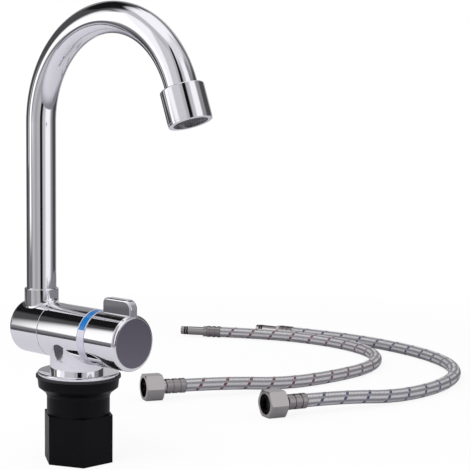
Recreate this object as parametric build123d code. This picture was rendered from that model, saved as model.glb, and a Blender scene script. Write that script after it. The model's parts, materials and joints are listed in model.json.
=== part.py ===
from build123d import *
import math
import os

os.makedirs("parts", exist_ok=True)

# Folding mixer tap for a caravan, in millimetres.
# The origin is on the worktop, at the middle of the round flange.
# +Z is up, and +X runs along the barrel towards the knob.

# The barrel, a line of four pieces of one diameter
BARREL_D = 34.4
BARREL_AXIS_Z = 27.0
SEAM_X = -20.0
SEAM_GAP = 0.3
BODY_LENGTH = 37.0
RING_WIDTH = 6.2
KNOB_GAP = 0.3
KNOB_LENGTH = 26.0
HUB_LENGTH = 28.0
BARREL_EDGE_R = 0.3

# Clearances shared by all pieces
SEAT_CLEARANCE = 0.05
RUNNING_CLEARANCE = 0.08
END_PLAY = 0.1
OVERRUN = 1.0

# Base: gasket, flange and neck
GASKET_D = 53.4
GASKET_T = 1.4
FLANGE_D = 51.0
FLANGE_T = 2.4
FLANGE_EDGE_R = 1.0
NECK_ALONG = 35.6
NECK_ACROSS = 32.8
NECK_X = -1.2
NECK_BLEND_R = 0.5

# Threaded shank and its mounting nut, below the worktop
SHANK_D = 32.0
SHANK_WALL = 2.5
SHANK_LENGTH = 42.0
SPIGOT_D = 28.6
SPIGOT_BORE = 24.0
SPIGOT_REACH = 6.0
NUT_LENGTH = 53.0
NUT_RIM_REACH = 6.0
NUT_RIM_H = 6.2
NUT_RIM_DRAFT = 0.7
NUT_TAPER_H = 3.4
NUT_TAPER_STEP = 1.0
NUT_THROAT_H = 2.4
NUT_WALL = 3.8
NUT_HEX_STEP = 0.2
NUT_HEX_TOP = 23.0
NUT_HEX_TURN = -34.0
NUT_THREAD_LENGTH = 32.0
NUT_RELIEF = 1.5
NUT_EDGE_R = 0.8

# Inlets and water ways in the body
INLET_PITCH_SHARE = 0.5
INLET_THREAD_D = 7.0
INLET_THREAD_LENGTH = 10.0
WAY_D = 5.0
WAY_X = 0.5
PORT_D = 4.4
PORT_SEAL_INSET = 5.0
OUTLET_PORT_D = 6.0
OUTLET_PORT_RISE = 4.0
GALLERY_END_X = -4.0

# Fold journal and what keeps the hub on it
JOURNAL_D = 18.0
JOURNAL_STUB_D = 16.0
JOURNAL_STUB_LENGTH = 12.0
JOURNAL_BORE = 9.0
JOURNAL_BORE_PAST_HOLE = 0.6
CROSS_HOLE_D = 6.0
CHAMBER_D = 22.4
CHAMBER_WIDTH = 6.0
SEAL_BESIDE_CHAMBER = 1.2
SEAL_WIDTH = 2.2
SEAL_SECTION = 1.8
THRUST_WASHER_MARGIN = 0.5
THRUST_WASHER_T = 1.0
RETAINING_SCREW_D = 5.0
RETAINING_SCREW_REACH = 3.6
RETAINING_HOLE_DEPTH = 4.2
RETAINING_HEAD_D = 11.0
RETAINING_HEAD_H = 1.4
RETAINING_SOCKET_AF = 3.0
RETAINING_SOCKET_DEPTH = 1.0
FRICTION_WASHER_INSIDE_PIN = 0.8
FRICTION_WASHER_T = 1.2
STOP_PIN_D = 2.4
STOP_PIN_DEPTH = 3.2
STOP_PIN_REACH = 1.8
STOP_PIN_INSET = 2.5
STOP_SLOT_CLEARANCE = 0.2
STOP_SLOT_DEPTH = 2.0
FOLD_ANGLE = 90.0
STOP_PIN_TURN = -45.0

# Spout hub, its collar and its end cap
SPOUT_INSET = 13.0
COLLAR_D = 21.9
COLLAR_HEIGHT = 8.3
COLLAR_LIP_R = 0.6
COLLAR_BLEND_R = 2.4
CAP_RIM_WALL = 4.7
CAP_POCKET_DEPTH = 4.3
CAP_T = 1.5
CAP_DOME = 0.8
HUB_EDGE_R = 3.0

# Spout tube, bent to one arc
TUBE_D = 19.0
TUBE_WALL = 1.2
TUBE_FOOT_RISE = 3.8
ARC_START_Z = 157.9
ARC_R = 62.7
ARC_ANGLE = 160.0
TUBE_END_LENGTH = 8.0

# Foot of the spout, sealed and held in the collar
FOOT_D = 16.9
FOOT_BORE = 12.0
FOOT_LENGTH = 8.2
FOOT_FLOOR_GAP = 0.4
FOOT_INLET_D = 5.6
FOOT_SPIGOT_LENGTH = 9.0
FOOT_SEAL_LOW = 2.8
FOOT_SEAL_HIGH = 5.3
FOOT_SEAL_WIDTH = 1.8
FOOT_SEAL_SECTION = 1.3
SNAP_RISE = 1.0
SNAP_T = 1.0
SNAP_D = 18.6
SNAP_GROOVE_DEPTH = 0.7
SNAP_GAP_ANGLE = 40.0
SLIDE_RING_T = 0.7

# Outlet socket and aerator, along the spout's end
SOCKET_D = 25.6
SOCKET_LENGTH = 19.6
SOCKET_START = 1.5
SOCKET_EDGE_R = 0.8
SOCKET_THREAD_D = 23.0
SOCKET_STOP_T = 2.0
SOCKET_STOP_BORE = 15.0
AERATOR_LIP_T = 1.4
AERATOR_LIP_D = 25.2
AERATOR_BORE = 21.4
AERATOR_SEAT_BORE = 20.0
AERATOR_WASHER_T = 1.6
INSERT_PLATE_T = 1.6
INSERT_ROOM_D = 16.0
INSERT_HOLE_D = 1.4
INSERT_HOLE_CIRCLE_R = 5.6
INSERT_HOLE_COUNT = 12
MESH_RECESS = 1.8
MESH_T = 0.8
MESH_HOLE_W = 1.3
MESH_BAR_W = 0.7

# Indicator ring between body and knob
RING_WALL = 2.0
MARK_T = 0.8
MARK_INSET = 0.5
MARK_START_ANGLE = 22.0
MARK_SPAN_ANGLE = 65.0

# Ceramic cartridge
CAVITY_WALL = 2.1
CAVITY_X = 5.0
CARTRIDGE_CLEARANCE = 0.1
CARTRIDGE_BASE_T = 2.0
CARTRIDGE_LENGTH = 9.7
CARTRIDGE_SHOULDER = 4.0
CARTRIDGE_NECK_LENGTH = 8.0
CARTRIDGE_WALL = 2.0
CARTRIDGE_ROOM_LENGTH = 7.2
PORT_SEAL_D = 7.0
PORT_SEAL_T = 0.9
PORT_SEAL_PROUD = 0.2
FIXED_DISC_T = 2.2
MOVING_DISC_T = 2.0
MOVING_DISC_MARGIN = 1.0
DISC_GAP = 0.02
DISC_POCKET_DEPTH = 1.2
DISC_POCKET_D = 9.0
GLAND_LENGTH = 6.0
GLAND_SLOT_W = 3.0
GLAND_SLOT_DEPTH = 2.0
SPINDLE_D = 9.0
SPINDLE_HEAD_D = 16.0
SPINDLE_HEAD_T = 2.0
SPINDLE_SQUARE = 6.4
SPINDLE_SQUARE_LENGTH = 13.0

# Knob with its fin, screw and end plate
KNOB_WALL = 2.4
KNOB_HOLLOW_DEPTH = 8.5
KNOB_BOSS_D = 14.0
KNOB_BOSS_SET_BACK = 2.0
KNOB_EDGE_CHAMFER = 2.0
KNOB_SCREW_D = 4.0
KNOB_SCREW_HEAD_D = 7.6
KNOB_SCREW_HEAD_H = 2.6
KNOB_SCREW_DEPTH = 8.0
KNOB_WEB_T = 2.4
KNOB_SOCKET_AF = 2.5
KNOB_SOCKET_DEPTH = 1.5
END_PLATE_RIM = 2.4
END_PLATE_T = 1.6
END_PLATE_EDGE_R = 0.3
FIN_T = 6.2
FIN_HEIGHT = 8.8
FIN_SET_BACK = 1.8
FIN_SINK = 1.0
FIN_BACK_R = 3.6
FIN_FRONT_R = 5.6
FIN_EDGE_R = 1.1

# Supply hoses, which lie on the surface that the nut stands on
HOSE_D = 10.0
HOSE_REST = 5.1
HOSE_CORNER_SHARE = 0.45
UNION_AF = 19.0
UNION_LENGTH = 14.0
UNION_THREAD_D = 15.0
UNION_THREAD_DEPTH = 7.0
UNION_ROOM_D = 14.6
UNION_ROOM_DEPTH = 11.0
UNION_BACK_BORE = 10.6
UNION_AXIS_HEIGHT = 9.6
UNION_EDGE_CHAMFER = 1.1
UNION_WASHER_T = 2.0
UNION_WASHER_BORE = 9.0
NIPPLE_FLANGE_D = 14.2
NIPPLE_FLANGE_T = 1.8
NIPPLE_NECK_D = 9.8
NIPPLE_NECK_END = 17.0
NIPPLE_BORE = 5.6
BARB_D = 7.0
NUT_FERRULE_D = 11.4
NUT_FERRULE_LENGTH = 16.0
FERRULE_EDGE_R = 0.7
FERRULE_GROOVE_DEPTH = 0.5
FERRULE_GROOVE_W = 2.0
FERRULE_GROOVE_SHARES = (0.25, 0.6)
TAIL_AXIS_HEIGHT = 5.7
TAIL_THREAD_D = 8.0
TAIL_TIP_D = 7.6
TAIL_TIP_LENGTH = 3.0
TAIL_BORE = 4.6
TAIL_GROOVE_D = 5.8
TAIL_GROOVE_W = 1.8
TAIL_GROOVE_STEP = 2.2
TAIL_NECK_END = 22.0
TAIL_HEX_AF = 9.4
TAIL_HEX_LENGTH = 3.4
TAIL_FERRULE_D = 10.8
TAIL_FERRULE_LENGTH = 13.6
TAIL_O_RING_D = 8.2
BARB_SHORT_OF_FERRULE = 2.0

# Routes of the hoses in plan, from the union nut's ferrule to the tail's ferrule
RED_ROUTE = [(-77, 179), (-61, 210), (-43, 257), (-34, 311), (-37, 366),
             (-63, 411), (-104, 434), (-151, 438), (-197, 423), (-236, 399)]
BLUE_ROUTE = [(18, 205), (30, 237), (43, 282), (46, 333), (32, 383),
              (2, 424), (-42, 450), (-92, 462), (-143, 460), (-188, 450)]

# Places worked out from the sizes above
SHANK_BORE = SHANK_D - 2 * SHANK_WALL
NUT_BARREL_D = SHANK_D + 2 * NUT_WALL
NUT_RIM_D = NUT_BARREL_D + 2 * NUT_RIM_REACH
NUT_TAPER_D = NUT_BARREL_D + 2 * NUT_TAPER_STEP
NUT_HEX_AF = NUT_BARREL_D + 2 * NUT_HEX_STEP
NUT_RELIEF_D = SHANK_D + 2 * NUT_RELIEF
BARREL_R = BARREL_D / 2
BARREL_TOP_Z = BARREL_AXIS_Z + BARREL_R
RING_SEAT_D = BARREL_D - 2 * RING_WALL
CAVITY_D = RING_SEAT_D - 2 * CAVITY_WALL
CARTRIDGE_D = CAVITY_D - 2 * CARTRIDGE_CLEARANCE
CARTRIDGE_NECK_D = CARTRIDGE_D - 2 * CARTRIDGE_SHOULDER
CARTRIDGE_ROOM_D = CARTRIDGE_D - 2 * CARTRIDGE_WALL
MOVING_DISC_D = CARTRIDGE_ROOM_D - 2 * MOVING_DISC_MARGIN
INLET_PITCH = INLET_PITCH_SHARE * CARTRIDGE_D
PORT_DROP = (CARTRIDGE_D - PORT_SEAL_D) / 2 - PORT_SEAL_INSET
STOP_CIRCLE_R = BARREL_R - STOP_PIN_INSET
FRICTION_WASHER_D = 2 * STOP_CIRCLE_R - STOP_PIN_D - 2 * FRICTION_WASHER_INSIDE_PIN
CAP_POCKET_D = BARREL_D - 2 * CAP_RIM_WALL
THRUST_WASHER_D = CAP_POCKET_D - 2 * THRUST_WASHER_MARGIN
END_PLATE_D = BARREL_D - 2 * END_PLATE_RIM
COLLAR_TOP_Z = BARREL_TOP_Z + COLLAR_HEIGHT
TUBE_FOOT_Z = BARREL_TOP_Z + TUBE_FOOT_RISE
FOOT_Z = TUBE_FOOT_Z - FOOT_LENGTH
FOOT_SEAL_LOW_Z = FOOT_Z + FOOT_SEAL_LOW
FOOT_SEAL_HIGH_Z = FOOT_Z + FOOT_SEAL_HIGH
SNAP_Z = FOOT_Z + SNAP_RISE
BODY_END_X = SEAM_X + BODY_LENGTH
RING_END_X = BODY_END_X + RING_WIDTH
KNOB_X = RING_END_X + KNOB_GAP
KNOB_END_X = KNOB_X + KNOB_LENGTH
HUB_END_X = SEAM_X - SEAM_GAP
HUB_FAR_X = HUB_END_X - HUB_LENGTH
SPOUT_X = HUB_FAR_X + SPOUT_INSET
FLANGE_TOP_Z = GASKET_T + FLANGE_T
JOURNAL_END_X = HUB_FAR_X + CAP_POCKET_DEPTH - END_PLAY
THRUST_WASHER_X = JOURNAL_END_X - THRUST_WASHER_T
JOURNAL_SEAL_D = JOURNAL_D + 2 * (RUNNING_CLEARANCE - SEAT_CLEARANCE)
SPIGOT_TOP_Z = FLANGE_TOP_Z + SPIGOT_REACH
COLLAR_STEP_Z = TUBE_FOOT_Z - SLIDE_RING_T - END_PLAY
FOOT_SEAL_D = FOOT_D + 2 * (RUNNING_CLEARANCE - SEAT_CLEARANCE)
CARTRIDGE_X = CAVITY_X + PORT_SEAL_PROUD
HOUSING_X = CARTRIDGE_X + CARTRIDGE_BASE_T
GLAND_X = HOUSING_X + CARTRIDGE_LENGTH
MOVING_DISC_X = HOUSING_X + FIXED_DISC_T + DISC_GAP
SPINDLE_X = MOVING_DISC_X + MOVING_DISC_T + DISC_GAP
SQUARE_X = GLAND_X + CARTRIDGE_NECK_LENGTH
SQUARE_END_X = SQUARE_X + SPINDLE_SQUARE_LENGTH
KNOB_WEB_X = SQUARE_END_X + END_PLAY
SCREW_SEAT_X = KNOB_WEB_X + KNOB_WEB_T
PLATE_SEAT_X = KNOB_END_X - END_PLATE_T
FOOT_FLOOR_Z = FOOT_Z - FOOT_FLOOR_GAP
ARC_CENTRE_X = SPOUT_X + ARC_R
TUBE_BORE = TUBE_D - 2 * TUBE_WALL
SOCKET_END = SOCKET_START + SOCKET_LENGTH
SOCKET_STOP_END = TUBE_END_LENGTH + SOCKET_STOP_T
INSERT_START = SOCKET_STOP_END + AERATOR_WASHER_T
OUTLET_END = SOCKET_END + AERATOR_LIP_T
MESH_END = OUTLET_END - MESH_RECESS
MESH_START = MESH_END - MESH_T
FLOOR_Z = -NUT_LENGTH
NIPPLE_FLANGE_Z = UNION_ROOM_DEPTH - END_PLAY - NIPPLE_FLANGE_T
UNION_WASHER_Z = NIPPLE_FLANGE_Z - UNION_WASHER_T
UNION_REACH = NIPPLE_NECK_END + NUT_FERRULE_LENGTH
TAIL_HEX_END = TAIL_NECK_END + TAIL_HEX_LENGTH
TAIL_REACH = TAIL_HEX_END + TAIL_FERRULE_LENGTH
PORTS = [(-INLET_PITCH / 2, -PORT_DROP, PORT_D),
         (INLET_PITCH / 2, -PORT_DROP, PORT_D),
         (0, OUTLET_PORT_RISE, OUTLET_PORT_D)]

BARREL_AXIS = Axis((0, 0, BARREL_AXIS_Z), (1, 0, 0))
BARREL_PLANE = Plane(origin=(0, 0, BARREL_AXIS_Z), x_dir=(0, 1, 0), z_dir=(1, 0, 0))


def turned(*outline):
    """Solid turned about the barrel's axis, from points of (place along it, radius)."""
    points = [(x, 0, BARREL_AXIS_Z + r) for x, r in outline]
    return revolve(make_face(Polyline(*points, close=True)), BARREL_AXIS)


def rod(start, end, diameter):
    """Round bar on the barrel's axis."""
    return turned((start, 0), (end, 0), (end, diameter / 2), (start, diameter / 2))


def sleeve(start, end, outer, inner):
    """Round tube on the barrel's axis."""
    return turned((start, inner / 2), (end, inner / 2), (end, outer / 2), (start, outer / 2))


def barrel_arc(start, end, inner_r, outer_r, first_turn, span):
    """Part of a ring on the barrel's axis. Turns are counted from the top, towards -Y."""
    outline = [(start, inner_r), (end, inner_r), (end, outer_r), (start, outer_r)]
    points = [(x, 0, BARREL_AXIS_Z + r) for x, r in outline]
    piece = revolve(make_face(Polyline(*points, close=True)), BARREL_AXIS, span)
    return piece.rotate(BARREL_AXIS, first_turn)


def upright(*outline):
    """Solid turned about Z, from points of (radius, height)."""
    points = [(r, 0, z) for r, z in outline]
    return revolve(make_face(Polyline(*points, close=True)), Axis.Z)


def post(bottom, top, diameter):
    """Round bar on Z."""
    return upright((0, bottom), (diameter / 2, bottom), (diameter / 2, top), (0, top))


def collar(bottom, top, outer, inner):
    """Round tube on Z."""
    return upright((inner / 2, bottom), (outer / 2, bottom), (outer / 2, top), (inner / 2, top))


def o_ring(height, outer_d, section):
    """Round seal on Z, whose lowest point is at the height."""
    place = Pos((outer_d - section) / 2, height + section / 2)
    return revolve(Plane.XZ * place * Circle(section / 2), Axis.Z)


def hexagon(across_flats, bottom, top):
    """Six-sided bar on Z, with flats towards +Y and -Y."""
    outline = RegularPolygon(across_flats / 2, 6, major_radius=False)
    return Pos(0, 0, bottom) * extrude(outline, top - bottom)


def square_bar(side, length):
    """Square bar on Z, from the origin up."""
    return extrude(Rectangle(side, side), length)


def on_barrel(piece, x, y=0, z=0):
    """Piece built on Z, laid along the barrel, from the place x, y and z from its axis."""
    return BARREL_PLANE * Pos(y, z, x) * piece


def on_spout(piece):
    """Piece built on Z, moved to the spout's upright axis."""
    return Pos(SPOUT_X, 0, 0) * piece


def on_outlet(piece):
    """Piece built on Z, laid along the spout's end, counted from the end of the tube's arc."""
    return Pos(ARC_CENTRE_X, 0, ARC_START_Z) * Rot(0, ARC_ANGLE, 0) * Pos(-ARC_R, 0, 0) * piece


def rims(piece, x):
    """Outer edges of a piece of the barrel, at a place along it."""
    circles = piece.edges().filter_by(GeomType.CIRCLE).filter_by_position(Axis.X, x, x)
    return circles.group_by(SortBy.RADIUS)[-1]


def in_line_edges(piece):
    """Edges where two round shapes run into each other."""
    return [edge for edge in piece.edges() if edge.geom_type == GeomType.BSPLINE]


# The body and what is fixed to it


def inlet_ways():
    """Water ways of the body: two inlets from below, and the way out to the fold journal."""
    gallery = post(GALLERY_END_X - OVERRUN, CAVITY_X + OVERRUN, OUTLET_PORT_D)
    ways = on_barrel(gallery, 0, 0, OUTLET_PORT_RISE)
    for side in (-1, 1):
        y = side * INLET_PITCH / 2
        way_top = BARREL_AXIS_Z - PORT_DROP + PORT_D / 2
        ways += Pos(WAY_X, y, 0) * post(SPIGOT_TOP_Z, way_top, WAY_D)
        thread_top = SPIGOT_TOP_Z + END_PLAY + INLET_THREAD_LENGTH
        ways += Pos(WAY_X, y, 0) * post(SPIGOT_TOP_Z, thread_top, INLET_THREAD_D)
        ways += on_barrel(post(WAY_X, CAVITY_X + OVERRUN, PORT_D), 0, y, -PORT_DROP)
    return ways


def stop_pin_bar(diameter, start, end):
    """Round bar at the stop pin's place, along the barrel."""
    bar = on_barrel(post(start, end, diameter), 0, 0, STOP_CIRCLE_R)
    return bar.rotate(BARREL_AXIS, STOP_PIN_TURN)


def tap_body():
    """Cast body: a barrel on an oval neck, with the seat for the ring and bores for all it holds."""
    neck = extrude(Ellipse(NECK_ALONG / 2, NECK_ACROSS / 2), BARREL_AXIS_Z - FLANGE_TOP_Z)
    body = rod(SEAM_X, BODY_END_X, BARREL_D)
    body = fillet(rims(body, SEAM_X) + rims(body, BODY_END_X), BARREL_EDGE_R)
    body += Pos(NECK_X, 0, FLANGE_TOP_Z) * neck
    body = fillet(in_line_edges(body), NECK_BLEND_R)
    body += rod(BODY_END_X, RING_END_X, RING_SEAT_D)
    body -= rod(CAVITY_X, RING_END_X + OVERRUN, CAVITY_D)
    body -= rod(SEAM_X - OVERRUN, GALLERY_END_X, JOURNAL_STUB_D + 2 * SEAT_CLEARANCE)
    body -= post(FLANGE_TOP_Z - OVERRUN, SPIGOT_TOP_Z + END_PLAY, SPIGOT_D + 2 * SEAT_CLEARANCE)
    body -= inlet_ways()
    return body - stop_pin_bar(STOP_PIN_D, SEAM_X - OVERRUN, SEAM_X + STOP_PIN_DEPTH)


def base_flange():
    """Round flange between neck and gasket, with a rounded upper rim."""
    flange = collar(GASKET_T, FLANGE_TOP_Z, FLANGE_D, SPIGOT_D + 2 * SEAT_CLEARANCE)
    rim = flange.edges().filter_by(GeomType.CIRCLE).group_by(Axis.Z)[-1].sort_by(SortBy.RADIUS)[-1]
    return fillet(rim, FLANGE_EDGE_R)


def worktop_gasket():
    """Rubber ring between flange and worktop."""
    return collar(0, GASKET_T, GASKET_D, SHANK_D + 2 * SEAT_CLEARANCE)


def threaded_shank():
    """Hollow shank: the spigot screws up into the neck, and its shoulder holds the flange."""
    outline = [
        (SHANK_BORE / 2, -SHANK_LENGTH),
        (SHANK_D / 2, -SHANK_LENGTH),
        (SHANK_D / 2, GASKET_T),
        (SPIGOT_D / 2, GASKET_T),
        (SPIGOT_D / 2, SPIGOT_TOP_Z),
        (SPIGOT_BORE / 2, SPIGOT_TOP_Z),
        (SPIGOT_BORE / 2, 0),
        (SHANK_BORE / 2, -abs(SHANK_BORE - SPIGOT_BORE) / 2),
    ]
    return upright(*outline)


def mounting_nut():
    """Flanged nut: a wide rim that tapers to a round waist, and a hexagon below for the spanner."""
    thread_r = SHANK_D / 2 + SEAT_CLEARANCE
    rim_r = NUT_RIM_D / 2
    taper_z = -NUT_RIM_H - NUT_TAPER_H
    outline = [
        (thread_r, 0),
        (rim_r, 0),
        (rim_r - NUT_RIM_DRAFT, -NUT_RIM_H),
        (NUT_TAPER_D / 2, taper_z),
        (NUT_BARREL_D / 2, taper_z - NUT_THROAT_H),
        (NUT_BARREL_D / 2, -NUT_HEX_TOP - OVERRUN),
        (thread_r, -NUT_HEX_TOP - OVERRUN),
    ]
    grip = Rot(0, 0, NUT_HEX_TURN) * hexagon(NUT_HEX_AF, -NUT_LENGTH, -NUT_HEX_TOP)
    grip = fillet(grip.edges().filter_by(Axis.Z), NUT_EDGE_R)
    nut = upright(*outline) + grip
    nut -= post(-NUT_LENGTH - OVERRUN, OVERRUN, 2 * thread_r)
    return nut - post(-NUT_LENGTH - OVERRUN, -NUT_THREAD_LENGTH, NUT_RELIEF_D)


def fold_journal():
    """Hollow journal: screwed into the body, sealed in the hub, with cross holes to the hub's chamber."""
    journal = rod(SEAM_X, SEAM_X + JOURNAL_STUB_LENGTH, JOURNAL_STUB_D)
    journal += rod(JOURNAL_END_X, SEAM_X, JOURNAL_D)
    groove_d = JOURNAL_SEAL_D - 2 * SEAL_SECTION - 2 * SEAT_CLEARANCE
    for start in journal_seal_places():
        journal -= sleeve(start, start + SEAL_WIDTH, JOURNAL_D + OVERRUN, groove_d)
    bore_start = SPOUT_X - CROSS_HOLE_D / 2 - JOURNAL_BORE_PAST_HOLE
    journal -= rod(bore_start, SEAM_X + JOURNAL_STUB_LENGTH + OVERRUN, JOURNAL_BORE)
    hole = on_spout(post(-JOURNAL_D, JOURNAL_D, CROSS_HOLE_D))
    journal -= Pos(0, 0, BARREL_AXIS_Z) * hole
    journal -= Pos(0, 0, BARREL_AXIS_Z) * hole.rotate(Axis.X, 90)
    return journal - rod(JOURNAL_END_X - OVERRUN, JOURNAL_END_X + RETAINING_HOLE_DEPTH, RETAINING_SCREW_D)


def journal_seal_places():
    """Left edges of the two seal grooves, one each side of the hub's water chamber."""
    step = CHAMBER_WIDTH / 2 + SEAL_BESIDE_CHAMBER
    return [SPOUT_X - step - SEAL_WIDTH, SPOUT_X + step]


def journal_o_rings():
    """Two seals in the journal's grooves."""
    ring = o_ring(0, JOURNAL_SEAL_D, SEAL_SECTION)
    inset = (SEAL_WIDTH - SEAL_SECTION) / 2
    return Compound([on_barrel(ring, start + inset) for start in journal_seal_places()])


def fold_friction_washer():
    """Plastic washer in the hub's face, which gives the fold its drag."""
    return sleeve(SEAM_X - FRICTION_WASHER_T, SEAM_X, FRICTION_WASHER_D, JOURNAL_D + 2 * SEAT_CLEARANCE)


def fold_stop_pin():
    """Pin in the body's face, which the ends of the hub's slot meet."""
    return stop_pin_bar(STOP_PIN_D, SEAM_X - STOP_PIN_REACH, SEAM_X + STOP_PIN_DEPTH)


def hub_thrust_washer():
    """Washer on the journal's end, behind which the hub turns."""
    return sleeve(THRUST_WASHER_X, JOURNAL_END_X, THRUST_WASHER_D, RETAINING_SCREW_D + 2 * SEAT_CLEARANCE)


def hub_retaining_screw():
    """Low-headed screw that holds the thrust washer."""
    head = rod(THRUST_WASHER_X - RETAINING_HEAD_H, THRUST_WASHER_X, RETAINING_HEAD_D)
    shank_d = RETAINING_SCREW_D - 2 * SEAT_CLEARANCE
    shank = rod(THRUST_WASHER_X, JOURNAL_END_X + RETAINING_SCREW_REACH, shank_d)
    socket_start = THRUST_WASHER_X - RETAINING_HEAD_H
    socket = hexagon(RETAINING_SOCKET_AF, -OVERRUN, RETAINING_SOCKET_DEPTH)
    return head + shank - on_barrel(socket, socket_start)


def mark_arc(first_turn, grow=0):
    """Arc of a coloured mark on the ring, grown all round by a clearance for its recess."""
    return barrel_arc(
        BODY_END_X + MARK_INSET - grow,
        RING_END_X - MARK_INSET + grow,
        BARREL_R - MARK_T - grow,
        BARREL_R + 2 * grow,
        first_turn,
        MARK_SPAN_ANGLE,
    )


def cold_mark():
    """Blue inlay on the ring's -Y side, from near the top downwards."""
    return mark_arc(90 - MARK_START_ANGLE - MARK_SPAN_ANGLE)


def hot_mark():
    """Red inlay on the ring's +Y side, the mirror of the blue one."""
    return mark_arc(MARK_START_ANGLE - 90)


def indicator_ring():
    """Ring on the body's seat, with recesses for its two inlays."""
    ring = sleeve(BODY_END_X, RING_END_X, BARREL_D, RING_SEAT_D + 2 * SEAT_CLEARANCE)
    ring = fillet(rims(ring, BODY_END_X) + rims(ring, RING_END_X), BARREL_EDGE_R)
    ring -= mark_arc(90 - MARK_START_ANGLE - MARK_SPAN_ANGLE, SEAT_CLEARANCE)
    return ring - mark_arc(MARK_START_ANGLE - 90, SEAT_CLEARANCE)


# The cartridge


def ports(start, end, extra=0):
    """Bars through the three ports of the cartridge, wider by the extra."""
    return [on_barrel(post(start, end, d + extra), 0, y, z) for y, z, d in PORTS]


def cartridge_base():
    """Lower plate of the cartridge, with its three ports and their seal seats."""
    base = rod(CARTRIDGE_X, HOUSING_X, CARTRIDGE_D)
    for bar in ports(CARTRIDGE_X - OVERRUN, HOUSING_X + OVERRUN):
        base -= bar
    seat_end = CARTRIDGE_X - PORT_SEAL_PROUD + PORT_SEAL_T
    for y, z, d in PORTS:
        base -= on_barrel(post(CARTRIDGE_X - OVERRUN, seat_end, PORT_SEAL_D + 2 * SEAT_CLEARANCE), 0, y, z)
    return base


def cartridge_seals():
    """Three rubber rings that seal the ports against the body."""
    rings = []
    for y, z, d in PORTS:
        inner = min(d, PORT_SEAL_D - PORT_SEAL_T)
        rings.append(on_barrel(collar(CAVITY_X, CAVITY_X + PORT_SEAL_T, PORT_SEAL_D, inner), 0, y, z))
    return Compound(rings)


def cartridge_fixed_disc():
    """Ceramic disc that stands still, with the three ports through it."""
    disc = rod(HOUSING_X, HOUSING_X + FIXED_DISC_T, CARTRIDGE_ROOM_D - 2 * SEAT_CLEARANCE)
    for bar in ports(HOUSING_X - OVERRUN, HOUSING_X + FIXED_DISC_T + OVERRUN):
        disc -= bar
    return disc


def cartridge_housing():
    """Cup over the discs, with the neck that guides the spindle."""
    housing = rod(HOUSING_X, GLAND_X, CARTRIDGE_D)
    housing += rod(GLAND_X, SQUARE_X, CARTRIDGE_NECK_D)
    housing -= rod(HOUSING_X - OVERRUN, HOUSING_X + CARTRIDGE_ROOM_LENGTH, CARTRIDGE_ROOM_D)
    return housing - rod(HOUSING_X, SQUARE_X + OVERRUN, SPINDLE_D + 2 * RUNNING_CLEARANCE)


def cartridge_gland_nut():
    """Ring nut in the mouth of the body, with four slots for its key."""
    nut = sleeve(GLAND_X, GLAND_X + GLAND_LENGTH, CARTRIDGE_D, CARTRIDGE_NECK_D + 2 * SEAT_CLEARANCE)
    slot = Box(CARTRIDGE_D + OVERRUN, GLAND_SLOT_W, 2 * GLAND_SLOT_DEPTH)
    for turn in (0, 90):
        nut -= on_barrel(Rot(0, 0, turn) * slot, GLAND_X + GLAND_LENGTH)
    return nut


def cartridge_moving_disc():
    """Ceramic disc that turns with the spindle, with a pocket that joins the ports."""
    disc = rod(MOVING_DISC_X, MOVING_DISC_X + MOVING_DISC_T, MOVING_DISC_D)
    pocket = post(MOVING_DISC_X - OVERRUN, MOVING_DISC_X + DISC_POCKET_DEPTH, DISC_POCKET_D)
    return disc - on_barrel(pocket, 0, 0, OUTLET_PORT_RISE)


def cartridge_spindle():
    """Spindle: a round head on the moving disc, a round shaft, and a square end for the knob."""
    spindle = rod(SPINDLE_X, SPINDLE_X + SPINDLE_HEAD_T, SPINDLE_HEAD_D)
    spindle += rod(SPINDLE_X + SPINDLE_HEAD_T, SQUARE_X, SPINDLE_D)
    spindle += on_barrel(square_bar(SPINDLE_SQUARE, SPINDLE_SQUARE_LENGTH), SQUARE_X)
    return spindle - rod(SQUARE_END_X - KNOB_SCREW_DEPTH, SQUARE_END_X + OVERRUN, KNOB_SCREW_D)


# The knob


def fin():
    """Upright fin along the knob: a plate with rounded corners and soft edges."""
    start = KNOB_X + FIN_SET_BACK
    bottom = BARREL_AXIS_Z + BARREL_R - FIN_SINK
    height = FIN_HEIGHT + FIN_SINK
    length = KNOB_END_X - start
    outline = Plane.XZ * Pos(start + length / 2, bottom + height / 2) * Rectangle(length, height)
    top = outline.vertices().group_by(Axis.Z)[-1].sort_by(Axis.X)
    outline = fillet(top[0], FIN_BACK_R)
    front = outline.vertices().sort_by(Axis.X).group_by(Axis.X)[-1].sort_by(Axis.Z)[-1]
    outline = fillet(front, FIN_FRONT_R)
    plate = extrude(outline, FIN_T / 2, both=True)
    side_edges = plate.edges().filter_by(Axis.Y, reverse=True).sort_by(Axis.Z)
    return fillet(side_edges[2:], FIN_EDGE_R)


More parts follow.
